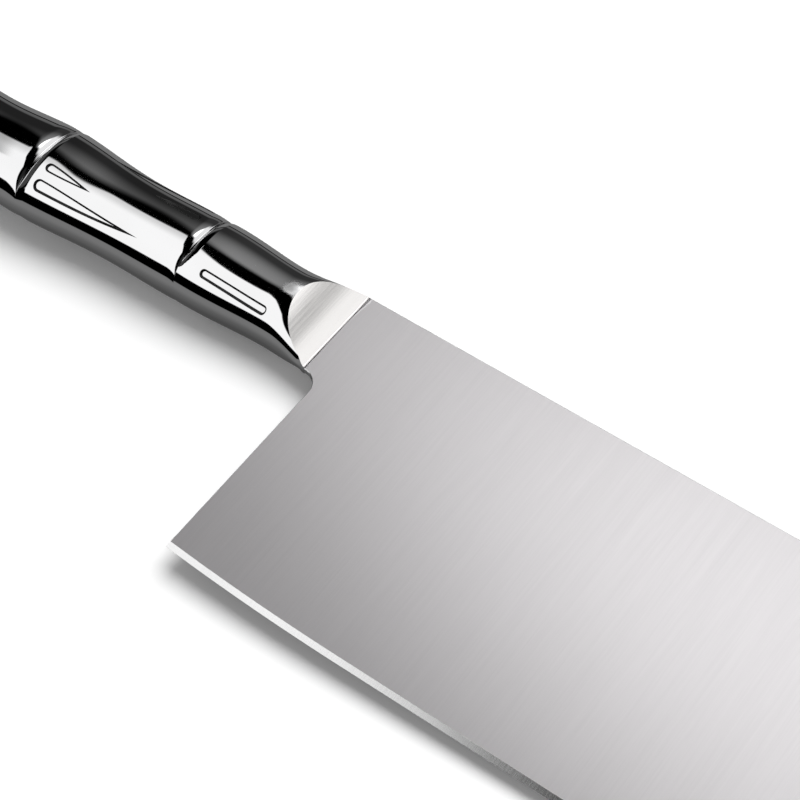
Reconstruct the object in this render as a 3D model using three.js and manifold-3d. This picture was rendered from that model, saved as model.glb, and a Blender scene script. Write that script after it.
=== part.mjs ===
// Broad nakiri kitchen knife with a hollow steel handle in bamboo style, in millimetres, +Z up.
// It lies on its side: +X runs towards the tip, +Y towards the spine and +Z out of the right face.
// Each piece is drawn from the line where the blade meets the bolster (x = 0), the spine (y = 0) and the
// mid-plane of the blade (z = 0). The whole knife is then centred over the origin and stood on z = 0.

import * as THREE from 'three';
import { mergeVertices } from 'three/addons/utils/BufferGeometryUtils.js';
import Module from 'manifold-3d';

const wasm = await Module();
wasm.setup();

// Blade
const bladeLength = 180; // heel to tip
const bladeHeight = 79.4; // spine to the lowest point of the edge
const spineThickness = 2;
const shoulderThickness = 0.7; // just above the cutting bevel
const bevelWidth = 1.4;
const heelSetback = 4.6; // from the bolster to the heel, also the radius of the choil
const heelRise = 1.6; // how far the edge curves up at the heel
const heelCurve = 45;
const tipRise = 3.5; // how far the edge curves up at the tip
const tipCurve = 60;
const tipRadius = 5; // of the corner between the spine and the tip
const tangLength = 28;
const tangThickness = 1.6;
const tangInset = 5; // from the neck's upper and lower side

// Handle: one ring where each bamboo segment ends, from the blade to the butt
const bolsterHeight = 24.5;
const segmentLengths = { front: 37.5, middle: 46, rear: 41 };
const nodeOne = -segmentLengths.front;
const nodeTwo = nodeOne - segmentLengths.middle;
const rearRim = nodeTwo - segmentLengths.rear;
const rings = [
  { x: 0, spine: 0, belly: -bolsterHeight, half: 8.6 },
  { x: nodeOne, spine: -1.9, belly: -24, half: 9 },
  { x: nodeTwo, spine: -0.2, belly: -25.8, half: 9.3 },
  { x: rearRim, spine: -0.6, belly: -26.4, half: 9.5 },
];
// How far each segment is drawn in, and at what share of its length it is narrowest
const waists = [
  { at: 0.355, spine: 2.15, belly: 1.25, half: 0.6 },
  { at: 0.5, spine: 0.95, belly: 0.65, half: 0.65 },
  { at: 0.5, spine: 1.1, belly: 0.9, half: 0.7 },
];
const squareness = 2.3; // 2 is an ellipse, more is squarer
const sectionPoints = 36; // around the handle, a multiple of 4
const handleStep = 3.6; // along the handle
const shellWall = 1.5;
const buttDepth = 6; // of the rounded end behind the rear rim

// Bamboo joints: the rear segment rounds down to the joint, and the front one breaks down to it
const joints = [
  { x: nodeOne, rearDepth: 0.6, rearReach: 2.5, frontDepth: 0.8, frontReach: 2.2 },
  { x: nodeTwo, rearDepth: 1, rearReach: 3.4, frontDepth: 1, frontReach: 2.3 },
];
const frontBreak = 0.6; // how much of the front drop is straight

// Bolster
const bolsterEdgeThickness = 2.2; // where it meets the blade
const rampLength = 12.5; // along the handle, to where the ramp stands clear above it
const rampRise = 8.3;
const rampHollow = 1.2; // 1 is a straight ramp, more is a hollower one
const spigotLength = 8;

// Fits
const fitGap = 0.15; // around the tang and the spigots

// Engraved grooves
const grooveDepth = 0.4;
const pillLength = 18.4;
const pillWidth = 1.9;
const pillSetback = 14.6; // between the pill's middle and the bamboo joint behind it
const pillDrop = 7.2; // below the handle's middle line
const dropSetback = 3.6; // between a drop's round end and the bamboo joint
const shortDropLength = 13.2;
const shortDropWidth = 2.4;
const shortDropOffset = 4.1; // from the handle's middle line
const longDropLength = 29.8;
const longDropWidth = 2.6;
const longDropOffset = 8.7;
const longDropTipOffset = 7.6;
const drops = [
  { length: shortDropLength, width: shortDropWidth, offset: shortDropOffset, tipOffset: shortDropOffset },
  { length: longDropLength, width: longDropWidth, offset: longDropOffset, tipOffset: longDropTipOffset },
];

const polishedSteel = new THREE.MeshStandardMaterial({ color: 0xc9c9cb, roughness: 0.06, metalness: 1 });
const groundSteel = new THREE.MeshStandardMaterial({ color: 0xc4c4c6, roughness: 0.3, metalness: 1 });
const satinSteel = new THREE.MeshStandardMaterial({ color: 0xb9b8b6, roughness: 0.36, metalness: 1 });

// Solids and booleans

function toSolid(geometry) {
  const bare = geometry.clone();
  bare.deleteAttribute('normal');
  bare.deleteAttribute('uv');
  const merged = mergeVertices(bare, 1e-5);
  const mesh = new wasm.Mesh({
    numProp: 3,
    vertProperties: Float32Array.from(merged.attributes.position.array),
    triVerts: Uint32Array.from(merged.index.array),
  });
  return new wasm.Manifold(mesh);
}

function toMesh(name, solid, material) {
  const { vertProperties, triVerts } = solid.getMesh();
  const geometry = new THREE.BufferGeometry();
  geometry.setAttribute('position', new THREE.BufferAttribute(vertProperties, 3));
  geometry.setIndex(new THREE.BufferAttribute(triVerts, 1));
  geometry.computeVertexNormals();
  const mesh = new THREE.Mesh(geometry, material);
  mesh.name = name;
  return mesh;
}

function block(low, high) {
  const size = new THREE.Vector3().subVectors(high, low);
  const middle = new THREE.Vector3().addVectors(low, high).multiplyScalar(0.5);
  const geometry = new THREE.BoxGeometry(size.x, size.y, size.z);
  geometry.translate(middle.x, middle.y, middle.z);
  return toSolid(geometry);
}

// A closed skin over a row of closed loops of points, with flat ends. Each loop runs from +Y to +Z, and the
// loops run towards -X.
function skin(loops) {
  const count = loops[0].length;
  const points = loops.flat();
  const index = [];
  for (let i = 0; i + 1 < loops.length; i += 1) {
    for (let k = 0; k < count; k += 1) {
      const a = i * count + k;
      const b = i * count + ((k + 1) % count);
      index.push(a, a + count, b, b, a + count, b + count);
    }
  }
  const addEnd = (first, flip) => {
    const middle = new THREE.Vector3();
    for (let k = 0; k < count; k += 1) middle.addScaledVector(points[first + k], 1 / count);
    const centre = points.push(middle) - 1;
    for (let k = 0; k < count; k += 1) {
      const a = first + k;
      const b = first + ((k + 1) % count);
      index.push(centre, flip ? b : a, flip ? a : b);
    }
  };
  addEnd(0, false);
  addEnd((loops.length - 1) * count, true);
  const geometry = new THREE.BufferGeometry().setFromPoints(points);
  geometry.setIndex(index);
  return toSolid(geometry);
}

// Handle surface

// Height of the spine and belly lines and half the thickness of the plain handle at a station x
function outlineAt(x) {
  let i = 0;
  while (i < waists.length - 1 && x < rings[i + 1].x) i += 1;
  const [front, back, waist] = [rings[i], rings[i + 1], waists[i]];
  const t = (front.x - x) / (front.x - back.x);
  const drawIn = Math.sin(Math.PI * Math.abs(t) ** (Math.log(0.5) / Math.log(waist.at))) ** 2;
  const spine = THREE.MathUtils.lerp(front.spine, back.spine, t) - waist.spine * drawIn;
  const belly = THREE.MathUtils.lerp(front.belly, back.belly, t) + waist.belly * drawIn;
  const half = THREE.MathUtils.lerp(front.half, back.half, t) - waist.half * drawIn;
  return { middle: (spine + belly) / 2, halfHeight: (spine - belly) / 2, half };
}

// How far the handle is drawn in at the bamboo joints
function reliefAt(x) {
  let drop = 0;
  for (const joint of joints) {
    const d = x - joint.x;
    if (d <= 0) {
      const share = Math.max(0, 1 + d / joint.rearReach);
      drop += joint.rearDepth * (1 - Math.sqrt(1 - share * share));
    } else {
      const share = Math.max(0, 1 - d / joint.frontReach);
      drop += joint.frontDepth * (frontBreak * share + (1 - frontBreak) * share * share);
    }
  }
  return -drop;
}

// Turns a sine or cosine into its share of a squarer oval
function bulge(share) {
  return Math.sign(share) * Math.abs(share) ** (2 / squareness);
}

// One loop around the handle. Joints fade out towards the spine and the belly.
function handleLoop(x, { inset = 0, shrink = 1, relief = true } = {}) {
  const { middle, halfHeight, half } = outlineAt(x);
  const stand = relief ? reliefAt(x) : 0;
  const loop = [];
  for (let k = 0; k < sectionPoints; k += 1) {
    const angle = (2 * Math.PI * k) / sectionPoints;
    const across = bulge(Math.cos(angle));
    const up = k === sectionPoints / 2 ? 0 : bulge(Math.sin(angle));
    const out = stand * THREE.MathUtils.smoothstep(Math.abs(up), 0.25, 0.85) - inset;
    const y = middle + shrink * (halfHeight + out) * across;
    loop.push(new THREE.Vector3(x, y, shrink * (half + out) * up));
  }
  return loop;
}

// Stations from one x down to another: even steps, and close ones beside each bamboo joint
function stations(from, to, relief) {
  const list = [];
  const steps = Math.ceil((from - to) / handleStep);
  for (let i = 1; i < steps; i += 1) list.push(from + ((to - from) * i) / steps);
  for (const joint of relief ? joints : []) {
    for (const share of [0, 0.03, 0.1, 0.2, 0.35, 0.6, 1]) list.push(joint.x - share * joint.rearReach);
    for (const share of [0.03, 0.3, 0.65, 1]) list.push(joint.x + share * joint.frontReach);
  }
  const least = 0.05;
  const between = list.filter((x) => x < from - least && x > to + least).sort((a, b) => b - a);
  const spaced = between.filter((x, i) => i === 0 || between[i - 1] - x > least);
  return [from, ...spaced, to];
}

function handleSolid(from, to, { inset = 0, relief = true } = {}) {
  return skin(stations(from, to, relief).map((x) => handleLoop(x, { inset, relief })));
}

// Grooves

function pillShape(x) {
  const shape = new THREE.Shape();
  const reach = pillLength / 2 - pillWidth / 2;
  const y = outlineAt(x).middle - pillDrop;
  shape.absarc(x + reach, y, pillWidth / 2, -Math.PI / 2, Math.PI / 2, false);
  shape.absarc(x - reach, y, pillWidth / 2, Math.PI / 2, (3 * Math.PI) / 2, false);
  return shape;
}

// A drop with its round end near one bamboo joint and its point towards the other. turn is 1 for the drops
// on the belly's side, which point to the blade, and -1 for the spine's, which point to the butt.
function dropShape({ length, width, offset, tipOffset }, turn) {
  const joint = turn > 0 ? nodeTwo : nodeOne;
  const radius = width / 2;
  const centre = joint + turn * (dropSetback + radius);
  const tip = joint + turn * (dropSetback + length);
  const y = outlineAt(centre).middle - turn * offset;
  const tipY = outlineAt(tip).middle - turn * tipOffset;
  const start = turn > 0 ? Math.PI / 2 : -Math.PI / 2;
  const shape = new THREE.Shape();
  shape.absarc(centre, y, radius, start, start + Math.PI, false);
  shape.lineTo(tip, tipY);
  return shape;
}

// Cuts each outline into the right and left face of a solid, to one depth below the handle's surface
function engrave(solid, shapes, from, to) {
  const floor = handleSolid(from, to, { inset: grooveDepth });
  const height = Math.max(...rings.map((ring) => ring.half)) + 1;
  let result = solid;
  for (const shape of shapes) {
    const options = { depth: 2 * height, bevelEnabled: false, curveSegments: 8 };
    const prism = new THREE.ExtrudeGeometry(shape, options);
    prism.translate(0, 0, -height);
    result = result.subtract(toSolid(prism).subtract(floor));
  }
  return result;
}

// Blade

// Half the thickness of the blade, which tapers evenly from the spine down to the cutting bevel
function bladeHalf(y) {
  const taper = (spineThickness - shoulderThickness) / (bladeHeight - bevelWidth);
  return (spineThickness + taper * y) / 2;
}

function edgeHeight(x) {
  const heel = Math.max(0, 1 - (x - heelSetback) / heelCurve);
  const tip = Math.max(0, 1 - (heelSetback + bladeLength - x) / tipCurve);
  return -bladeHeight + heelRise * heel * heel + tipRise * tip * tip;
}

// The blade's outline, anticlockwise from the right. bevel is how far the edge lies below the point.
function bladeOutline() {
  const outline = [];
  const add = (x, y, bevel = 0) => outline.push({ x, y, bevel });
  const arc = (x, y, radius, from, to, steps) => {
    for (let i = 0; i <= steps; i += 1) {
      const angle = from + ((to - from) * i) / steps;
      add(x + radius * Math.cos(angle), y + radius * Math.sin(angle));
    }
  };
  const tip = heelSetback + bladeLength;
  arc(tip - tipRadius, -tipRadius, tipRadius, 0, Math.PI / 2, 8);
  add(0, 0);
  arc(0, -bolsterHeight - heelSetback, heelSetback, Math.PI / 2, 0, 10);
  const edgeSteps = 36;
  for (let i = 0; i <= edgeSteps; i += 1) {
    const x = heelSetback + (bladeLength * i) / edgeSteps;
    add(x, edgeHeight(x) + bevelWidth, bevelWidth);
  }
  return outline;
}

function makeBlade() {
  const outline = bladeOutline();
  const count = outline.length;
  const right = outline.map(({ x, y }) => new THREE.Vector3(x, y, bladeHalf(y)));
  const middle = outline.map(({ x, y, bevel }) => new THREE.Vector3(x, y - bevel, 0));
  const left = outline.map(({ x, y }) => new THREE.Vector3(x, y, -bladeHalf(y)));
  const index = [];
  const flat = outline.map(({ x, y }) => new THREE.Vector2(x, y));
  for (const [a, b, c] of THREE.ShapeUtils.triangulateShape(flat, [])) {
    index.push(a, b, c, 2 * count + a, 2 * count + c, 2 * count + b);
  }
  for (const first of [0, count]) {
    for (let k = 0; k < count; k += 1) {
      const a = first + k;
      const b = first + ((k + 1) % count);
      index.push(a, a + count, b, b, a + count, b + count);
    }
  }
  const geometry = new THREE.BufferGeometry().setFromPoints([...right, ...middle, ...left]);
  geometry.setIndex(index);
  return toMesh('blade', toSolid(geometry).add(tangBlock(0)), satinSteel);
}

// The stub tang, with a gap around it. Its front end runs on into the blade.
function tangBlock(gap) {
  const half = tangThickness / 2 + gap;
  return block(
    new THREE.Vector3(-tangLength - gap, tangInset - bolsterHeight - gap, -half),
    new THREE.Vector3(heelSetback / 2, gap - tangInset, half),
  );
}

// Bolster

// The two ground ramps beside the blade: everything between them stays
function rampBlock() {
  const edge = bolsterEdgeThickness / 2;
  const back = nodeOne - 1;
  const top = edge + rampRise + bolsterHeight;
  const rampSteps = 14;
  const upper = [];
  for (let i = 0; i <= rampSteps; i += 1) {
    const t = i / rampSteps;
    upper.push(new THREE.Vector2(-rampLength * t, edge + rampRise * t ** rampHollow));
  }
  upper.push(new THREE.Vector2(-rampLength, top), new THREE.Vector2(back, top));
  const lower = upper.map(({ x, y }) => new THREE.Vector2(x, -y)).reverse();
  const depth = 2 * bolsterHeight;
  const shape = new THREE.Shape([...upper, ...lower]);
  const geometry = new THREE.ExtrudeGeometry(shape, { depth, bevelEnabled: false });
  geometry.rotateX(Math.PI / 2);
  geometry.translate(0, (depth - bolsterHeight) / 2, 0);
  return toSolid(geometry);
}

// A plug that fits inside the shells, from one x down to another
function spigot(from, to) {
  return handleSolid(from, to, { inset: shellWall + fitGap, relief: false });
}

function makeBolster() {
  const body = handleSolid(0, nodeOne).intersect(rampBlock());
  const plug = spigot(nodeOne + 1, nodeOne - spigotLength);
  const whole = body.add(plug).subtract(tangBlock(fitGap));
  const pill = pillShape(nodeOne + pillSetback);
  return toMesh('bolster', engrave(whole, [pill], 0, nodeOne), groundSteel);
}

// Shells and butt cap

function makeShells() {
  const outer = handleSolid(nodeOne, rearRim);
  const inner = handleSolid(nodeOne + 1, rearRim - 1, { inset: shellWall, relief: false });
  const shapes = [
    ...drops.map((drop) => dropShape(drop, 1)),
    ...drops.map((drop) => dropShape(drop, -1)),
    pillShape((nodeTwo + rearRim) / 2),
  ];
  const tube = engrave(outer.subtract(inner), shapes, nodeOne, rearRim);
  const reach = 2 * bolsterHeight;
  const half = (low, high) =>
    block(new THREE.Vector3(rearRim - 1, -reach, low), new THREE.Vector3(nodeOne + 1, reach, high));
  return [
    toMesh('handle_shell_right', tube.intersect(half(0, reach)), polishedSteel),
    toMesh('handle_shell_left', tube.intersect(half(-reach, 0)), polishedSteel),
  ];
}

function makeButtCap() {
  const dome = [];
  const domeSteps = 8;
  for (let i = 0; i < domeSteps; i += 1) {
    const angle = (Math.PI / 2) * (i / domeSteps);
    const loop = handleLoop(rearRim, { shrink: Math.cos(angle) ** 0.6 });
    dome.push(loop.map((point) => point.setX(rearRim - buttDepth * Math.sin(angle))));
  }
  const plug = spigot(rearRim + spigotLength, rearRim - 1);
  return toMesh('butt_cap', skin(dome).add(plug), polishedSteel);
}

const knife = new THREE.Group();
knife.add(makeBlade(), makeBolster(), ...makeShells(), makeButtCap());

const box = new THREE.Box3().setFromObject(knife);
const centre = box.getCenter(new THREE.Vector3());
knife.position.set(-centre.x, -centre.y, -box.min.z);

export default knife;
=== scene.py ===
"""A broad nakiri knife with a polished steel bamboo handle, lying on a white table."""
import math

import bpy
import numpy as np
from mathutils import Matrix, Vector
from mathutils.geometry import delaunay_2d_cdt


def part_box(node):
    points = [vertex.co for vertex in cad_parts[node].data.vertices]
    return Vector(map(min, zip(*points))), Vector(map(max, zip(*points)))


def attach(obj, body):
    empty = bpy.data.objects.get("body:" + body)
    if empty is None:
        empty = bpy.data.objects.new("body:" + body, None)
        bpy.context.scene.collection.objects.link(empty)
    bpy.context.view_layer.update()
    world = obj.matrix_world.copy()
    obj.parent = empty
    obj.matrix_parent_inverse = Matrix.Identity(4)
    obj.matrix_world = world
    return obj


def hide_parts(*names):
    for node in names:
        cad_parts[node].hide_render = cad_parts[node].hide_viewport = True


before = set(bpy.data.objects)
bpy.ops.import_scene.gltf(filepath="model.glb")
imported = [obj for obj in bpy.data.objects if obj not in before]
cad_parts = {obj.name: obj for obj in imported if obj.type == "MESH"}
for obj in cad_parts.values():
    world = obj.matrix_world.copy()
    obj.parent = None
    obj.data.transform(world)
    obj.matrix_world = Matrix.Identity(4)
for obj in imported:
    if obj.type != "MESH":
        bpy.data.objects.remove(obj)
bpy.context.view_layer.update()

# Sizes in millimetres, as in the part's source: x = 0 is the line where the blade meets the bolster,
# y = 0 the spine and z = 0 the mid-plane of the blade.

# Blade
BLADE_LENGTH = 180
BLADE_HEIGHT = 79.4
SPINE_THICKNESS = 2
SHOULDER_THICKNESS = 0.7
BEVEL_WIDTH = 1.4
HEEL_SETBACK = 4.6
HEEL_RISE = 1.6
HEEL_CURVE = 45
TIP_RISE = 3.5
TIP_CURVE = 60
TIP_RADIUS = 5
EDGE_FLAT = 0.03  # thickness of the sharp edge itself
CHAMFER = 0.14  # on the spine, tip, heel and choil
TIP_X = HEEL_SETBACK + BLADE_LENGTH

# Scar of the weld on the blade, at the spine end of the bolster
SCAR_LENGTH = 8.5
SCAR_WIDTH = 0.6
SCAR_DEPTH = 0.03
SCAR_RIDGE = 0.03
SCAR_RIDGE_WIDTH = 0.35

# Handle
BOLSTER_HEIGHT = 24.5
NODE_ONE = -37.5
NODE_TWO = NODE_ONE - 46
REAR_RIM = NODE_TWO - 41
RING_X = np.array([0, NODE_ONE, NODE_TWO, REAR_RIM])
RING_SPINE = np.array([0, -1.9, -0.2, -0.6])
RING_BELLY = np.array([-BOLSTER_HEIGHT, -24, -25.8, -26.4])
RING_HALF = np.array([8.6, 9, 9.3, 9.5])
WAIST_AT = np.array([0.355, 0.5, 0.5])
WAIST_SPINE = np.array([2.15, 0.95, 1.1])
WAIST_BELLY = np.array([1.25, 0.65, 0.9])
WAIST_HALF = np.array([0.6, 0.65, 0.7])
SQUARENESS = 2.3
SHELL_WALL = 1.5
BUTT_DEPTH = 6

# Bamboo joints: the rear segment rounds down to the joint, and the front one breaks down to it as far
# towards the belly as front_end, where the spine is at 1 and the belly at -1
JOINTS = [
    {"x": NODE_ONE, "rear_depth": 0.6, "rear_reach": 2.5, "front_depth": 0.8, "front_reach": 2.2,
     "front_end": -0.77},
    {"x": NODE_TWO, "rear_depth": 1, "rear_reach": 3.4, "front_depth": 1, "front_reach": 2.3,
     "front_end": -2},
]
FRONT_BREAK = 0.6  # how much of the front drop is straight
BREAK_FADE = 0.4  # how far across the handle the front drop takes to fade out at its end

# Bolster
BOLSTER_EDGE = 1.1  # half its thickness beside the blade
RAMP_LENGTH = 12.5
RAMP_RISE = 8.3
RAMP_HOLLOW = 1.2
EDGE_REACH = (3, 6)  # how far from the ramp the polished side rounds down to it, at spine and belly
EDGE_CURVE = 0.025  # how quickly it rounds down
BRUSHED_REACH = 2.9  # how far the ramp's brushed finish runs out over the polished side
BRUSHED_FULL = 1.5  # where that finish is strongest
BRUSHED_LOSS = 0.4  # how much of it is polished away at the ramp's edge

# Engraved grooves
GROOVE_DEPTH = 0.42
FAINT_DEPTH = 0.22  # of the drops beside the spine
GROOVE_WALL = 0.42  # how wide the sloping wall of a groove is
PILL_LENGTH = 18.4
PILL_WIDTH = 1.9
PILL_SETBACK = 14.6
PILL_DROP = 7.2
DROP_SETBACK = 3.6
DROP_FULLNESS = 1.4  # 1 gives a drop straight sides
SHORT_DROP = {"length": 13.2, "width": 2.4, "offset": 4.1, "tip_offset": 4.1}
LONG_DROP = {"length": 29.8, "width": 2.6, "offset": 8.7, "tip_offset": 7.6}

# Camera: a long lens above the knife, on the side of its cutting edge and level with its tip
CAMERA_PLACE = (190.83, -252.62, 387.94)
CAMERA_TARGET = (21.79, -18.66, 0)
LENS = 100
SENSOR_WIDTH = 36

# How fine the meshes are
STEP_ALONG = 0.9  # along the handle
ANGLES = np.linspace(0, math.pi, 109)  # around one half of the handle, from the spine to the belly
AROUND = 10.5  # millimetres of surface in one radian
TIP_STEPS = 17  # points round the corner of the blade's tip

TO_LEFT_FACE = np.array([1, 1, -1])  # turns points of the right face into points of the left one

blade_low, blade_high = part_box("blade")
FRAME_OFFSET = np.array([
    blade_high.x * 1000 - TIP_X,
    blade_high.y * 1000,
    (blade_low.z + blade_high.z) * 500,
])


def to_frame(points):
    """Points in the knife's own millimetres, as metres in the shared frame."""
    return (np.asarray(points, float) + FRAME_OFFSET) / 1000


# Camera

def make_camera():
    camera = bpy.data.objects.new("camera", bpy.data.cameras.new("camera"))
    bpy.context.scene.collection.objects.link(camera)
    camera.data.lens = LENS
    camera.data.sensor_width = SENSOR_WIDTH
    camera.location = to_frame(CAMERA_PLACE)
    target = Vector(to_frame(CAMERA_TARGET))
    camera.rotation_euler = (target - camera.location).to_track_quat("-Z", "Y").to_euler()
    bpy.context.scene.camera = camera


# The handle as a formula

def smoothstep(value, low, high):
    share = np.clip((value - low) / (high - low), 0, 1)
    return share * share * (3 - 2 * share)


def bulge(share):
    """Turns a sine or cosine into its share of a squarer oval."""
    return np.sign(share) * np.abs(share) ** (2 / SQUARENESS)


def outline_at(x):
    """Middle height, half height and half thickness of the plain handle."""
    x = np.asarray(x, float)
    i = (x < NODE_ONE).astype(int) + (x < NODE_TWO)
    share = (RING_X[i] - x) / (RING_X[i] - RING_X[i + 1])
    draw_in = np.sin(math.pi * np.abs(share) ** (math.log(0.5) / np.log(WAIST_AT[i]))) ** 2
    spine = RING_SPINE[i] + share * (RING_SPINE[i + 1] - RING_SPINE[i]) - WAIST_SPINE[i] * draw_in
    belly = RING_BELLY[i] + share * (RING_BELLY[i + 1] - RING_BELLY[i]) + WAIST_BELLY[i] * draw_in
    half = RING_HALF[i] + share * (RING_HALF[i + 1] - RING_HALF[i]) - WAIST_HALF[i] * draw_in
    return (spine + belly) / 2, (spine - belly) / 2, half


def relief_at(x, across=1):
    """What is added to the size of the handle: less than nothing at the bamboo joints."""
    relief = np.zeros_like(x)
    for joint in JOINTS:
        away = x - joint["x"]
        fade = np.sqrt(np.clip((across - joint["front_end"]) / BREAK_FADE, 1e-4, 1))
        rear = np.clip(1 + np.minimum(away, 0) / joint["rear_reach"], 0, 1)
        front = np.clip(1 - np.maximum(away, 0) / (joint["front_reach"] * fade), 0, 1)
        rear_drop = joint["rear_depth"] * (1 - np.sqrt(1 - rear**2))
        front_drop = joint["front_depth"] * fade * (FRONT_BREAK * front + (1 - FRONT_BREAK) * front**2)
        relief -= np.where(away > 0, front_drop, rear_drop)
    return relief


def ramp_share(x):
    return np.maximum(-x / RAMP_LENGTH, 0) ** RAMP_HOLLOW


def ramp_height(x):
    return BOLSTER_EDGE + RAMP_RISE * ramp_share(x)


def edge_rounding(x, z, across):
    """How far the polished side dips beside the edge of the ramp, most of all towards the belly."""
    reach = np.interp(smoothstep(-across, -0.3, 0.9), (0, 1), EDGE_REACH)
    gap = ramp_height(x) + EDGE_CURVE * reach**2 - np.abs(z)
    dip = EDGE_CURVE * np.clip(reach - gap, 0, 1.3 * reach) ** 3 / reach
    return dip * smoothstep(ramp_share(x), 0, 0.15)


def handle_surface(x, angle, grooves=(), inset=0, relief=True, shrink=1):
    """Points on the handle. angle runs from the spine over the right face to the belly, and the relief
    of the joints fades out before either."""
    x, angle = np.broadcast_arrays(np.asarray(x, float), np.asarray(angle, float))
    middle, half_height, half = outline_at(x)
    across, up = bulge(np.cos(angle)), bulge(np.sin(angle))
    out = relief_at(x, across) * smoothstep(np.abs(up), 0.25, 0.85) if relief else np.zeros_like(x)
    out = out - inset
    y = middle + (half_height + out) * across
    for groove in grooves:
        out = out - groove.depth * np.clip(groove.inside(x, y) / GROOVE_WALL, 0, 1)
    out = out - edge_rounding(x, (half + out) * up, across)
    y = middle + shrink * (half_height + out) * across
    z = shrink * (half + out) * up
    return np.stack([x, y, z], axis=-1)


def angle_of(x, y):
    """The angle at which the right face passes through a point of its outline drawing."""
    middle, half_height, _ = outline_at(x)
    share = (y - middle) / (half_height + relief_at(x))
    return np.arccos(np.clip(np.sign(share) * np.abs(share) ** (SQUARENESS / 2), -1, 1))


def unit(vectors):
    return vectors / np.linalg.norm(vectors, axis=-1, keepdims=True)


def handle_normals(x, angle, low, high, grooves=()):
    """Outward directions of the surface, measured over tiny steps that stay between two stations."""
    step, turn = 0.004, 0.0004
    before = handle_surface(np.maximum(x - step, low), angle, grooves)
    after = handle_surface(np.minimum(x + step, high), angle, grooves)
    along = after - before
    around = handle_surface(x, angle + turn, grooves) - handle_surface(x, angle - turn, grooves)
    return unit(np.cross(around, along))


# Grooves

class Groove:
    """A groove with one round end, and a round or pointed one at the other end."""

    def __init__(self, start, end, radius, pointed, depth=GROOVE_DEPTH):
        self.start = np.array(start, float)
        axis = np.array(end, float) - self.start
        self.length = np.linalg.norm(axis)
        self.axis = axis / self.length
        self.side = np.array([-self.axis[1], self.axis[0]])
        self.radius = radius
        self.pointed = pointed
        self.depth = depth

    def inside(self, x, y):
        """How far a point lies inside the groove's outline."""
        along = (x - self.start[0]) * self.axis[0] + (y - self.start[1]) * self.axis[1]
        across = (x - self.start[0]) * self.side[0] + (y - self.start[1]) * self.side[1]
        near_end = self.radius - np.hypot(along, across)
        share = np.maximum(along / self.length, 0)
        if self.pointed:
            beyond = self.radius * (1 - share**DROP_FULLNESS) - np.abs(across)
        else:
            beyond = self.radius - np.hypot(np.maximum(along - self.length, 0), across)
        return np.where(along < 0, near_end, beyond)

    def ring(self, depth):
        """A closed loop of points that lie at one depth inside the outline."""
        radius = self.radius - depth
        turn = np.linspace(math.pi / 2, 3 * math.pi / 2, 15)
        near_end = np.stack([radius * np.cos(turn), radius * np.sin(turn)], axis=1)
        steps = max(3, int(self.length / 0.7))
        if self.pointed:
            share = np.linspace(0, (radius / self.radius) ** (1 / DROP_FULLNESS), steps)[1:]
            half = self.radius * (1 - share**DROP_FULLNESS) - depth
            there = np.stack([share * self.length, -half], axis=1)
            back = (there * [1, -1])[-2::-1]
        else:
            far_end = np.array([self.length, 0]) - near_end
            share = np.linspace(0, 1, steps)[1:-1, None]
            there = np.concatenate([near_end[-1] + share * (far_end[0] - near_end[-1]), far_end])
            back = far_end[-1] + share * (near_end[0] - far_end[-1])
        loop = np.concatenate([near_end, there, back])
        return self.start + loop[:, :1] * self.axis + loop[:, 1:] * self.side


def pill(x):
    y = float(outline_at(x)[0]) - PILL_DROP
    reach = (PILL_LENGTH - PILL_WIDTH) / 2
    return Groove((x - reach, y), (x + reach, y), PILL_WIDTH / 2, pointed=False)


def drop(size, turn):
    """A drop by the belly that points to the blade (turn 1), or by the spine, to the butt (turn -1)."""
    joint = NODE_TWO if turn > 0 else NODE_ONE
    x = joint + turn * (DROP_SETBACK + size["width"] / 2)
    tip_x = joint + turn * (DROP_SETBACK + size["length"])
    y = float(outline_at(x)[0]) - turn * size["offset"]
    tip_y = float(outline_at(tip_x)[0]) - turn * size["tip_offset"]
    depth = GROOVE_DEPTH if turn > 0 else FAINT_DEPTH
    return Groove((x, y), (tip_x, tip_y), size["width"] / 2, pointed=True, depth=depth)


BOLSTER_GROOVES = [pill(NODE_ONE + PILL_SETBACK)]
SHELL_GROOVES = [drop(size, turn) for size in (SHORT_DROP, LONG_DROP) for turn in (1, -1)]
SHELL_GROOVES.append(pill((NODE_TWO + REAR_RIM) / 2))
RING_DEPTHS = np.array([-0.15, 0, 0.15, 0.5, 0.85, 1, 1.2]) * GROOVE_WALL


# Meshes from patches: points, their directions, faces and a material number

def triangulate(flat, loops):
    """Triangles between flat points, inside the first loop and with the edges of all loops kept."""
    edges = []
    for loop in loops:
        edges += list(zip(loop, np.roll(loop, -1)))
    edges = [(int(a), int(b)) for a, b in edges]
    points = [Vector(point) for point in flat.tolist()]
    _, _, faces, origin, _, _ = delaunay_2d_cdt(points, edges, [], 1, 1e-6)
    return np.array([[origin[corner][0] for corner in face] for face in faces])


def turned(patch):
    """The same patch seen from its other side."""
    points, normals, faces, material = patch
    return points, -normals, [list(face)[::-1] for face in faces], material


def mirrored(patch):
    """The same patch on the left face of the knife."""
    points, normals, faces, material = patch
    faces = [list(face)[::-1] for face in faces]
    return points * TO_LEFT_FACE, normals * TO_LEFT_FACE, faces, material


def flat_patch(loop, direction, material):
    """One flat face inside a closed loop of points."""
    loop = np.asarray(loop, float)
    return loop, np.tile(direction, (len(loop), 1)).astype(float), [list(range(len(loop)))], material


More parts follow.
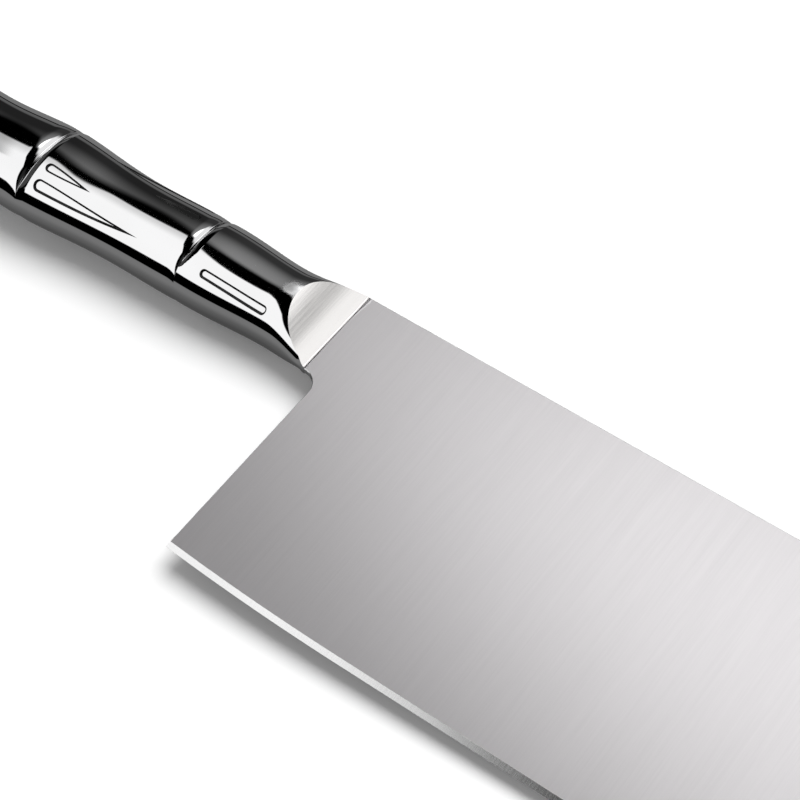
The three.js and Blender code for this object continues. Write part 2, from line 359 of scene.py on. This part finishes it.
def strip_patch(first, second, material, closed=False):
    """A row of four-sided faces between two rows of points."""
    points, normals, faces = [], [], []
    count = len(first)
    for k in range(count if closed else count - 1):
        after = (k + 1) % count
        corners = np.array([first[k], first[after], second[after], second[k]])
        normal = np.cross(corners[2] - corners[0], corners[3] - corners[1])
        if np.linalg.norm(normal) < 1e-9:
            continue
        faces.append(list(range(len(points), len(points) + 4)))
        points += list(corners)
        normals += [normal / np.linalg.norm(normal)] * 4
    return np.array(points), np.array(normals), faces, material


def smooth_patch(points, normals, faces, material):
    """A patch whose faces share one direction at each point."""
    _, same = np.unique(points.round(4), axis=0, return_inverse=True)
    same = same.ravel()
    total = np.zeros((same.max() + 1, 3))
    np.add.at(total, same, normals)
    return points, unit(total[same]), faces, material


def make_piece(name, node, patches, materials):
    """One mesh from patches whose shared border points are joined, standing for a CAD node."""
    points = np.concatenate([patch[0] for patch in patches])
    _, first, joined = np.unique(points.round(4), axis=0, return_index=True, return_inverse=True)
    joined = joined.ravel()
    faces, normals, numbers = [], [], []
    start = 0
    for patch_points, patch_normals, patch_faces, material in patches:
        for face in patch_faces:
            corners = [joined[start + corner] for corner in face]
            keep = [k for k in range(len(face)) if corners[k] != corners[k - 1]]
            if len(keep) < 3:
                continue
            faces.append([int(corners[k]) for k in keep])
            normals += [patch_normals[face[k]] for k in keep]
            numbers.append(material)
        start += len(patch_points)
    mesh = bpy.data.meshes.new(name)
    mesh.from_pydata(to_frame(points[first]).tolist(), [], faces)
    mesh.polygons.foreach_set("use_smooth", [True] * len(faces))
    mesh.polygons.foreach_set("material_index", numbers)
    mesh.normals_split_custom_set([tuple(normal) for normal in normals])
    for material in materials:
        mesh.materials.append(material)
    piece = bpy.data.objects.new(name, mesh)
    bpy.context.scene.collection.objects.link(piece)
    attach(piece, "root")
    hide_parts(node)
    return piece


# Handle pieces

def stations(low, high):
    """Places along the handle, with close ones beside each bamboo joint."""
    places = list(np.linspace(low, high, int((high - low) / STEP_ALONG) + 1))
    shares = np.concatenate([[0.01, 0.03], np.arange(0.06, 1, 0.07), [1, 1.03]])
    for joint in JOINTS:
        rear, front = -joint["rear_reach"] * shares, joint["front_reach"] * shares
        close = joint["x"] + np.concatenate([rear, [0], front])
        places = [x for x in places if x in (low, high) or np.abs(close - x).min() > 0.25]
        places += [x for x in close if low < x < high]
    return np.unique(np.array(places).round(6))


def skin_patches(border, inner, low, high, grooves, skin, wall):
    """The handle's right half inside a border of (x, angle) points: its skin, its groove walls, and
    the (x, angle) of their points."""
    clear = np.ones(len(inner), bool)
    surface = handle_surface(inner[:, 0], inner[:, 1])
    for groove in grooves:
        depth = groove.inside(surface[:, 0], surface[:, 1])
        clear &= (depth < -0.45) | (depth > RING_DEPTHS[-1] + 0.25)
    plane = [border, inner[clear]]
    loops = [np.arange(len(border))]
    count = len(border) + clear.sum()
    for groove in grooves:
        for depth in RING_DEPTHS:
            ring = groove.ring(depth)
            plane.append(np.stack([ring[:, 0], angle_of(ring[:, 0], ring[:, 1])], axis=1))
            loops.append(np.arange(count, count + len(ring)))
            count += len(ring)
    plane = np.concatenate(plane)
    faces = triangulate(plane * [1, AROUND], loops)[:, ::-1]
    x, angle = plane.T
    centres = handle_surface(x, angle)[faces].mean(axis=1)
    in_wall = np.zeros(len(faces), bool)
    for groove in grooves:
        depth = groove.inside(centres[:, 0], centres[:, 1])
        in_wall |= (depth > 0) & (depth < GROOVE_WALL)
    points = handle_surface(x, angle, grooves)
    normals = handle_normals(x, angle, low, high, grooves)
    return (points, normals, faces[~in_wall], skin), (points, normals, faces[in_wall], wall), plane


def rectangle(places):
    """Border and inner points of the handle's right half between the first and the last place."""
    low, high = places[0], places[-1]
    border = [(x, 0) for x in places]
    border += [(high, angle) for angle in ANGLES[1:-1]]
    border += [(x, math.pi) for x in places[::-1]]
    border += [(low, angle) for angle in ANGLES[-2:0:-1]]
    inner = [(x, angle) for x in places[1:-1] for angle in ANGLES[1:-1]]
    return np.array(border), np.array(inner)


def make_shells(polished, groove_residue_and_shade):
    places = stations(REAR_RIM, NODE_ONE)
    border, inner = rectangle(places)
    outside, walls, plane = skin_patches(border, inner, REAR_RIM, NODE_ONE, SHELL_GROOVES, 0, 1)
    points = handle_surface(plane[:, 0], plane[:, 1], inset=SHELL_WALL, relief=False)
    inside = turned((points, outside[1], np.concatenate([outside[2], walls[2]]), 0))
    count = len(border)
    rim = strip_patch(outside[0][:count], points[:count], 0, closed=True)
    right = [outside, walls, inside, rim]
    materials = [polished, groove_residue_and_shade]
    make_piece("shell_right", "handle_shell_right", right, materials)
    left = [mirrored(patch) for patch in right]
    make_piece("shell_left", "handle_shell_left", left, materials)


def ramp_border():
    """(x, angle) points where the right ramp cuts the handle, from the spine to the belly."""
    start = math.asin((BOLSTER_EDGE / RING_HALF[0]) ** (SQUARENESS / 2))
    angle = np.linspace(start, math.pi - start, 141)
    low, high = np.full_like(angle, -RAMP_LENGTH), np.zeros_like(angle)
    for _ in range(40):
        x = (low + high) / 2
        above = handle_surface(x, angle)[:, 2] > ramp_height(x)
        low, high = np.where(above, low, x), np.where(above, x, high)
    x = (low + high) / 2
    x[[0, -1]] = 0
    return np.stack([x, angle], axis=1)


def ramp_patch(edge, front, material):
    """The ramp itself, inside the points of its edge and of its front line."""
    border = np.concatenate([edge, front])
    grid_x, grid_y = np.meshgrid(np.arange(-RAMP_LENGTH, -0.3, 0.6), np.arange(-BOLSTER_HEIGHT, 0, 0.8))
    grid_x, grid_y = grid_x.ravel(), grid_y.ravel()
    edge_x = np.interp(grid_y, edge[::-1, 1], edge[::-1, 0], left=1, right=1)
    clear = grid_x > edge_x + 0.3
    inner = np.stack([grid_x, grid_y, ramp_height(grid_x)], axis=1)[clear]
    points = np.concatenate([border, inner])
    faces = triangulate(points[:, :2], [np.arange(len(border))])
    share = np.maximum(-points[:, 0] / RAMP_LENGTH, 0)
    slope = RAMP_RISE * RAMP_HOLLOW / RAMP_LENGTH * share ** (RAMP_HOLLOW - 1)
    normals = unit(np.stack([slope, np.zeros_like(slope), np.ones_like(slope)], axis=1))
    return points, normals, faces, material


def make_bolster(polished, groove_residue_and_shade, ground, weld):
    places = stations(NODE_ONE, 0)
    cut = ramp_border()
    cut_points = handle_surface(cut[:, 0], cut[:, 1])
    corner = np.linspace(0, cut[0, 1], 6)[:-1]
    border = [(x, 0) for x in places[:-1]]
    border += [(0, angle) for angle in corner]
    border += [tuple(point) for point in cut]
    border += [(0, math.pi - angle) for angle in corner[::-1]]
    border += [(x, math.pi) for x in places[-2::-1]]
    border += [(NODE_ONE, angle) for angle in ANGLES[-2:0:-1]]
    border = np.array(border)
    inner = np.array([(x, angle) for x in places[1:-1] for angle in ANGLES[1:-1]])
    limit = np.interp(inner[:, 1], cut[:, 1], cut[:, 0], left=0, right=0)
    inner = inner[inner[:, 0] < limit - 0.35]
    side, walls, _ = skin_patches(border, inner, NODE_ONE, 0, BOLSTER_GROOVES, 0, 1)
    line = np.linspace(cut_points[-1], cut_points[0], 40)[1:-1]
    right = [side, walls, ramp_patch(cut_points, line, 2)]
    halves = right + [mirrored(patch) for patch in right]
    top = handle_surface(0, corner)
    bottom = handle_surface(0, math.pi - corner[::-1])
    front = np.concatenate([top, cut_points[:1], line[::-1], cut_points[-1:], bottom])
    rear = handle_surface(NODE_ONE, ANGLES)
    front_face = flat_patch(np.concatenate([front, front[-2:0:-1] * TO_LEFT_FACE])[::-1], (1, 0, 0), 3)
    rear_face = flat_patch(np.concatenate([rear, rear[-2:0:-1] * TO_LEFT_FACE]), (-1, 0, 0), 0)
    patches = halves + [front_face, rear_face]
    materials = [polished, groove_residue_and_shade, ground, weld]
    bolster = make_piece("bolster_polished", "bolster", patches, materials)
    mark_brushed(bolster)


def mark_brushed(bolster):
    """Marks how brushed the polished side is beside the spine half of the ramps."""
    x, y, z = (np.array([vertex.co for vertex in bolster.data.vertices]) * 1000 - FRAME_OFFSET).T
    middle, half_height, _ = outline_at(x)
    gap = ramp_height(x) - np.abs(z)
    share = smoothstep(gap, BRUSHED_REACH, BRUSHED_FULL) - BRUSHED_LOSS * smoothstep(gap, BRUSHED_FULL, 0)
    across = (y - middle) / half_height  # 1 at the spine, -1 at the belly
    share *= smoothstep(across, -0.2, 0) * smoothstep(across, 0.5, 0)
    layer = bolster.data.attributes.new("brushed", "FLOAT", "POINT")
    layer.data.foreach_set("value", share)


def make_butt_cap(steel):
    """A dome behind the rear rim, with a fine line where it is welded on."""
    turn = np.linspace(0, 2 * math.pi, 145)[:-1]
    rows = [(0, 0.985), (0.06, 0.994)]  # depth behind the rim, and share of its size
    for angle in np.linspace(0.04, math.pi / 2, 26)[:-1]:
        rows.append((BUTT_DEPTH * math.sin(angle), math.cos(angle) ** 0.6))
    loops = []
    for depth, shrink in rows:
        loop = handle_surface(REAR_RIM, turn, shrink=shrink)
        loop[:, 0] -= depth
        loops.append(loop)
    loops.append(np.repeat(loops[-1].mean(axis=0, keepdims=True), len(turn), axis=0))
    loops[-1][:, 0] = REAR_RIM - BUTT_DEPTH
    points, normals, faces = [], [], []
    for first, second in zip(loops, loops[1:]):
        strip = strip_patch(second, first, 0, closed=True)
        faces += [[corner + len(points) for corner in face] for face in strip[2]]
        points += list(strip[0])
        normals += list(strip[1])
    dome = smooth_patch(np.array(points), np.array(normals), faces, 0)
    front_face = flat_patch(loops[0][::-1], (1, 0, 0), 0)
    make_piece("butt_dome", "butt_cap", [dome, front_face], [steel])


# Blade

def blade_half(y):
    """Half the thickness of the blade, which tapers evenly down to the cutting bevel."""
    taper = (SPINE_THICKNESS - SHOULDER_THICKNESS) / (BLADE_HEIGHT - BEVEL_WIDTH)
    return (SPINE_THICKNESS + taper * y) / 2


def edge_height(x):
    heel = np.maximum(0, 1 - (x - HEEL_SETBACK) / HEEL_CURVE)
    tip = np.maximum(0, 1 - (TIP_X - x) / TIP_CURVE)
    return -BLADE_HEIGHT + HEEL_RISE * heel**2 + TIP_RISE * tip**2


def arc(x, y, radius, start, end, steps):
    angle = np.linspace(start, end, steps)
    return np.stack([x + radius * np.cos(angle), y + radius * np.sin(angle)], axis=1)


def blade_outline(inset):
    """From the tip along the spine, down beside the bolster and round the choil to the heel."""
    tip = arc(TIP_X - TIP_RADIUS, -TIP_RADIUS, TIP_RADIUS - inset, 0, math.pi / 2, TIP_STEPS)
    scar = np.array([(SCAR_WIDTH + SCAR_RIDGE_WIDTH, -inset), (SCAR_WIDTH, -inset), (0, -inset)])
    neck = np.array([(0, -SCAR_LENGTH)])
    choil = arc(0, -BOLSTER_HEIGHT - HEEL_SETBACK, HEEL_SETBACK + inset, math.pi / 2, 0, 21)
    return np.concatenate([tip, scar, neck, choil])


def make_blade(satin, bevel, rim):
    """Two flat ground faces, a polished bevel on each, and a finely broken edge all round."""
    outer, inner = blade_outline(0), blade_outline(CHAMFER)
    edge_x = np.linspace(HEEL_SETBACK, TIP_X, 121)
    edge = np.stack([edge_x, edge_height(edge_x)], axis=1)
    shoulder = edge + [0, BEVEL_WIDTH]
    shoulder[[0, -1], 0] += [CHAMFER, -CHAMFER]

    # Heights above the mid-plane: the scar has a ridge and a hollow, and its lower end isn't chamfered
    first = TIP_STEPS
    at_neck = first + 3
    lower = np.zeros(len(inner))
    lower[first + 1: at_neck] = [-SCAR_RIDGE, SCAR_DEPTH]
    face_z = blade_half(inner[:, 1]) - lower
    rim_z = face_z - CHAMFER
    rim_z[at_neck] = face_z[at_neck]
    face = np.column_stack([np.concatenate([inner, shoulder]),
                            np.concatenate([face_z, blade_half(shoulder[:, 1])])])
    side = np.column_stack([np.concatenate([outer, edge]),
                            np.concatenate([rim_z, np.full(len(edge), EDGE_FLAT / 2)])])

    # The right face is flat apart from two triangles at the scar
    flat = [k for k in range(len(face)) if k not in (first + 1, first + 2)]
    normal = unit(np.array([0, -(blade_half(0) - blade_half(-1)), 1]))
    right = [flat_patch(face[flat], normal, 0)]
    for corners in ((first, first + 1, at_neck), (first + 1, first + 2, at_neck)):
        a, b, c = face[list(corners)]
        right.append(flat_patch([a, b, c], unit(np.cross(b - a, c - a)), 0))
    count = len(outer)
    right.append(strip_patch(side[count:], face[count:], 1))
    broken = np.arange(-1, count + 1)
    right.append(strip_patch(side[broken], face[broken], 2))
    middle = strip_patch(side * TO_LEFT_FACE, side, 2, closed=True)
    patches = right + [mirrored(patch) for patch in right] + [middle]
    blade = make_piece("blade_ground", "blade", patches, [satin, bevel, rim])

    # The map that the brushed lines follow: the share of z keeps it from being flat on the narrow sides
    layer = blade.data.uv_layers.new(name="brush")
    corners = np.array([loop.vertex_index for loop in blade.data.loops])
    places = np.array([vertex.co for vertex in blade.data.vertices])[corners]
    layer.data.foreach_set("uv", (places[:, :2] + places[:, 2:] * [0.37, 0.61]).ravel())


# Materials

def add_node(tree, kind, inputs=(), **settings):
    """A shader node. Its inputs are values, or the outputs of other nodes."""
    node = tree.nodes.new(kind)
    for key, value in settings.items():
        setattr(node, key, value)
    for key, value in dict(inputs).items():
        if isinstance(value, bpy.types.NodeSocket):
            tree.links.new(value, node.inputs[key])
        else:
            node.inputs[key].default_value = value
    return node


def new_tree(name):
    material = bpy.data.materials.new(name)
    material.use_nodes = True
    material.node_tree.nodes.clear()
    return material, material.node_tree


def grain(tree, scale, detail=4, roughness=0.6):
    """Noise over the object, stretched by a different scale along each axis."""
    place = add_node(tree, "ShaderNodeTexCoord").outputs["Object"]
    mapped = add_node(tree, "ShaderNodeMapping", {"Vector": place, "Scale": scale}).outputs["Vector"]
    inputs = {"Vector": mapped, "Scale": 1, "Detail": detail, "Roughness": roughness}
    return add_node(tree, "ShaderNodeTexNoise", inputs).outputs["Fac"]


def between(tree, value, low, high, start=0.3, end=0.7):
    """Maps noise to a range of values."""
    inputs = {"Value": value, "From Min": start, "From Max": end, "To Min": low, "To Max": high}
    return add_node(tree, "ShaderNodeMapRange", inputs).outputs["Result"]


def steel(name, dark, light, roughness, lines, line_depth, patches, anisotropy=0, brushed=0):
    """Bare steel. lines is the scale of its fine scratches along each axis, and patches that of its
    changes in colour; roughness is a pair, line_depth is in metres, and brushed is the roughness added
    where a mesh is marked as brushed."""
    material, tree = new_tree(name)
    scratches = grain(tree, lines)
    cloud = grain(tree, patches, detail=2)
    colour = add_node(tree, "ShaderNodeValToRGB", {"Fac": between(tree, cloud, 0, 1)})
    colour.color_ramp.elements[0].color = (*dark, 1)
    colour.color_ramp.elements[1].color = (*light, 1)
    bump = add_node(tree, "ShaderNodeBump", {"Height": scratches, "Distance": line_depth, "Strength": 1})
    mark = add_node(tree, "ShaderNodeAttribute", attribute_name="brushed").outputs["Fac"]
    inputs = {0: mark, 1: brushed, 2: between(tree, scratches, *roughness)}
    rough = add_node(tree, "ShaderNodeMath", inputs, operation="MULTIPLY_ADD")
    shader = add_node(tree, "ShaderNodeBsdfPrincipled", {
        "Base Color": colour.outputs["Color"],
        "Metallic": 1,
        "Roughness": rough.outputs[0],
        "Normal": bump.outputs["Normal"],
    })
    if anisotropy:
        shader.inputs["Anisotropic"].default_value = anisotropy
        tangent = add_node(tree, "ShaderNodeTangent", direction_type="UV_MAP", uv_map="brush")
        tree.links.new(tangent.outputs["Tangent"], shader.inputs["Tangent"])
    add_node(tree, "ShaderNodeOutputMaterial", {"Surface": shader.outputs["BSDF"]})
    return material


# Stage: a white table, and a studio round it that only the steel mirrors

TABLE_TILT = (0.035, -0.0152)  # how it rises along x and y, as the knife lies on its handle and its tip
TABLE_HEIGHT = -7.98  # of the table under the bolster, below the blade's mid-plane
TABLE_REACH = 20000
TABLE_GLOW = 0.08  # what the camera sees on top of the light on the table
ROOM_LIGHT = 0.32  # how strongly the white room lights the table
STUDIO_RADIUS = 3000
STUDIO_STEP = math.radians(0.8)


def table_z(x, y):
    return TABLE_HEIGHT + TABLE_TILT[0] * x + TABLE_TILT[1] * y


def stage_sheet(name, points, faces, material):
    mesh = bpy.data.meshes.new(name)
    mesh.from_pydata(to_frame(points).tolist(), [], faces)
    mesh.materials.append(material)
    sheet = bpy.data.objects.new(name, mesh)
    bpy.context.scene.collection.objects.link(sheet)
    return sheet


def make_table():
    material, tree = new_tree("white_table")
    cloud = grain(tree, (6, 6, 6), detail=3)
    colour = add_node(tree, "ShaderNodeValToRGB", {"Fac": between(tree, cloud, 0, 1)})
    colour.color_ramp.elements[0].color = (0.86, 0.86, 0.86, 1)
    colour.color_ramp.elements[1].color = (0.88, 0.88, 0.88, 1)
    diffuse = add_node(tree, "ShaderNodeBsdfDiffuse", {"Color": colour.outputs["Color"]})
    path = add_node(tree, "ShaderNodeLightPath")
    glow = add_node(tree, "ShaderNodeEmission", {
        "Strength": between(tree, path.outputs["Is Camera Ray"], 0, TABLE_GLOW, 0, 1)})
    both = add_node(tree, "ShaderNodeAddShader")
    tree.links.new(diffuse.outputs["BSDF"], both.inputs[0])
    tree.links.new(glow.outputs["Emission"], both.inputs[1])
    add_node(tree, "ShaderNodeOutputMaterial", {"Surface": both.outputs["Shader"]})
    corners = TABLE_REACH * np.array([(-1, -1), (1, -1), (1, 1), (-1, 1)])
    points = [(x, y, table_z(x, y)) for x, y in corners]
    table = stage_sheet("table", points, [(0, 1, 2, 3)], material)
    table.visible_glossy = False


def studio_tone(direction):
    """How bright the studio is in each direction from the knife, where white is 1."""
    x, y, z = direction.T
    above = np.maximum(z, 0.02)
    left, back = -x / above, y / above

    # The light box on the left, which is the white band on the belly half of the handle
    back_edge = 0.04 + 0.4 * smoothstep(left, 0.34, 0.62) - 1.2 * np.maximum(0.34 - left, 0)
    far_edge = -0.63 - 0.35 * np.maximum(-y - 0.1, 0)
    left_box = smoothstep(back_edge - back, -0.02, 0.02) * smoothstep(left, 0.09, 0.13)
    left_box *= smoothstep(z, 0.25, 0.28) * smoothstep(x - far_edge, -0.03, 0.03)
    left_box *= 1.12 - 0.36 * smoothstep(back, 0.1, 0.42)

    # The light box behind the knife on the right, which lights the blade and the ramp
    near_edge = -0.37 + 0.7 * np.maximum(y - 0.42, 0)
    low_edge = 0.434 - 0.14 * smoothstep(x, -0.25, 0.05) - 0.08 * smoothstep(x, 0.35, 0.55)
    high_edge = 0.6 + 0.16 * smoothstep(x, -0.25, 0)
    right_box = (5.9 - 4.95 * smoothstep(x, -0.3, -0.09)) * (1 - 0.55 * smoothstep(x, 0.52, 0.59))
    right_box *= smoothstep(x - near_edge, 0, 0.12) * smoothstep(high_edge - y, -0.08, 0.08)
    right_box *= smoothstep(y - low_edge, -0.06, 0.06) * smoothstep(z, 0.1, 0.3)
    open_side = 1.6 * smoothstep(x, 0.59, 0.67) * smoothstep(z, -0.05, 0.1) * smoothstep(y, 0.25, 0.4)

    # The dim walls, and a grey floor that is darker straight down: painted shade of the table under the
    # knife, seen only in the steel
    back_wall = (0.035 + 0.25 * smoothstep(z, 0.45, 0.9)) * (1 - 0.5 * smoothstep(-x, 0.38, 0.5))
    back_wall *= smoothstep(y - 0.6 * np.maximum(-x - 0.37, 0), 0.36, 0.46)
    skirting = 0.12 * smoothstep(-z, -0.25, -0.15)
    back_wall = np.maximum(back_wall, skirting) * smoothstep(y, 0, 0.2) * smoothstep(z, 0.03, 0.05)

    far_wall = 0.06 * smoothstep(-x, 0.86, 0.9)
    front_wall = (0.02 + 0.28 * smoothstep(-z, -0.52, -0.4)) * smoothstep(x, 0.1, 0.3)
    front_wall *= smoothstep(-y, 0.1, 0.35) * smoothstep(z, 0.03, 0.1)
    # Painted shade: the floor that the steel mirrors is grey, and darkest straight below the knife
    shaded_floor = 0.2 - 0.13 * smoothstep(-z, 0.5, 0.95)
    shaded_floor = shaded_floor * np.where(y < 0, smoothstep(-z, 0.26, 0.29), smoothstep(-z, 0.02, 0.05))
    return np.max([left_box, right_box, open_side, back_wall, far_wall, front_wall, shaded_floor], axis=0)


def make_studio():
    """A dome all round the knife. Its bright and dark fields draw the bands on the polished handle."""
    across = np.arange(0, 2 * math.pi, STUDIO_STEP)
    rise = np.linspace(-math.pi / 2, math.pi / 2, int(math.pi / STUDIO_STEP) + 1)
    turn, lift = np.meshgrid(across, rise)
    direction = np.stack([np.cos(turn) * np.cos(lift), np.sin(turn) * np.cos(lift), np.sin(lift)], axis=-1)
    direction = direction.reshape(-1, 3)
    count = len(across)
    faces = []
    for i in range(len(rise) - 1):
        for k in range(count):
            after = (k + 1) % count
            faces.append((i * count + k, i * count + after, (i + 1) * count + after, (i + 1) * count + k))
    material, tree = new_tree("studio_light")
    grey = add_node(tree, "ShaderNodeAttribute", attribute_name="tone").outputs["Color"]
    glow = add_node(tree, "ShaderNodeEmission", {"Color": grey, "Strength": 1})
    add_node(tree, "ShaderNodeOutputMaterial", {"Surface": glow.outputs["Emission"]})
    dome = stage_sheet("studio", direction * STUDIO_RADIUS, faces, material)
    layer = dome.data.color_attributes.new("tone", "FLOAT_COLOR", "POINT")
    greys = np.repeat(studio_tone(direction)[:, None], 4, axis=1)
    layer.data.foreach_set("color", greys.ravel())
    for ray in ("camera", "diffuse", "transmission", "volume_scatter", "shadow"):
        setattr(dome, "visible_" + ray, False)


def make_world():
    world = bpy.data.worlds.new("white_room")
    bpy.context.scene.world = world
    world.use_nodes = True
    tree = world.node_tree
    tree.nodes.clear()
    path = add_node(tree, "ShaderNodeLightPath").outputs
    seen = add_node(tree, "ShaderNodeMath", {0: path["Is Camera Ray"], 1: path["Is Glossy Ray"]},
                    operation="MAXIMUM")
    strength = between(tree, seen.outputs[0], ROOM_LIGHT, 1, 0, 1)
    light = add_node(tree, "ShaderNodeBackground", {"Color": (1, 1, 1, 1), "Strength": strength})
    add_node(tree, "ShaderNodeOutputWorld", {"Surface": light.outputs["Background"]})


def make_lamp():
    """A wide soft lamp behind the spine. The steel mirrors the studio instead of it."""
    lamp = bpy.data.lights.new("soft_lamp", "SUN")
    lamp.energy = 2.9
    lamp.angle = math.radians(50)
    holder = bpy.data.objects.new("soft_lamp", lamp)
    bpy.context.scene.collection.objects.link(holder)
    holder.rotation_euler = Vector((-0.1, -0.45, -1)).to_track_quat("-Z", "Y").to_euler()
    holder.visible_glossy = False


make_camera()
make_table()
make_studio()
make_world()
make_lamp()

polished_steel = steel("polished_steel", (0.8, 0.8, 0.805), (0.84, 0.84, 0.845), (0.03, 0.06),
                       lines=(90, 900, 900), line_depth=4e-7, patches=(40, 60, 60), brushed=0.42)
# Groove walls: a dark residue left in the grooves, plus painted shade that darkens them further
groove_residue_and_shade_steel = steel("groove_residue_and_shade_steel", (0.03, 0.03, 0.03), (0.09, 0.09, 0.09), (0.4, 0.6),
                       lines=(800, 800, 800), line_depth=2e-6, patches=(200, 200, 200))
satin_steel = steel("satin_steel", (0.868, 0.845, 0.859), (0.9, 0.876, 0.89), (0.315, 0.345),
                    lines=(3000, 15, 15), line_depth=3e-7, patches=(2500, 60, 60), anisotropy=0.7)
ground_steel = steel("ground_steel", (0.93, 0.912, 0.898), (0.985, 0.966, 0.952), (0.1, 0.16),
                     lines=(2600, 70, 70), line_depth=4e-6, patches=(300, 30, 30))
weld_steel = steel("weld_steel", (0.6, 0.6, 0.6), (0.7, 0.7, 0.7), (0.5, 0.6),
                   lines=(900, 900, 900), line_depth=2e-6, patches=(200, 200, 200))
bevel_steel = steel("bevel_steel", (0.8, 0.8, 0.8), (0.86, 0.86, 0.86), (0.12, 0.2),
                    lines=(4000, 100, 100), line_depth=1e-6, patches=(50, 50, 50))
rim_steel = steel("rim_steel", (0.7, 0.7, 0.7), (0.78, 0.78, 0.78), (0.2, 0.3),
                  lines=(80, 3000, 3000), line_depth=1e-6, patches=(30, 30, 30))

make_shells(polished_steel, groove_residue_and_shade_steel)
make_bolster(polished_steel, groove_residue_and_shade_steel, ground_steel, weld_steel)
make_butt_cap(polished_steel)
make_blade(satin_steel, bevel_steel, rim_steel)

bpy.context.scene.view_settings.view_transform = "Standard"
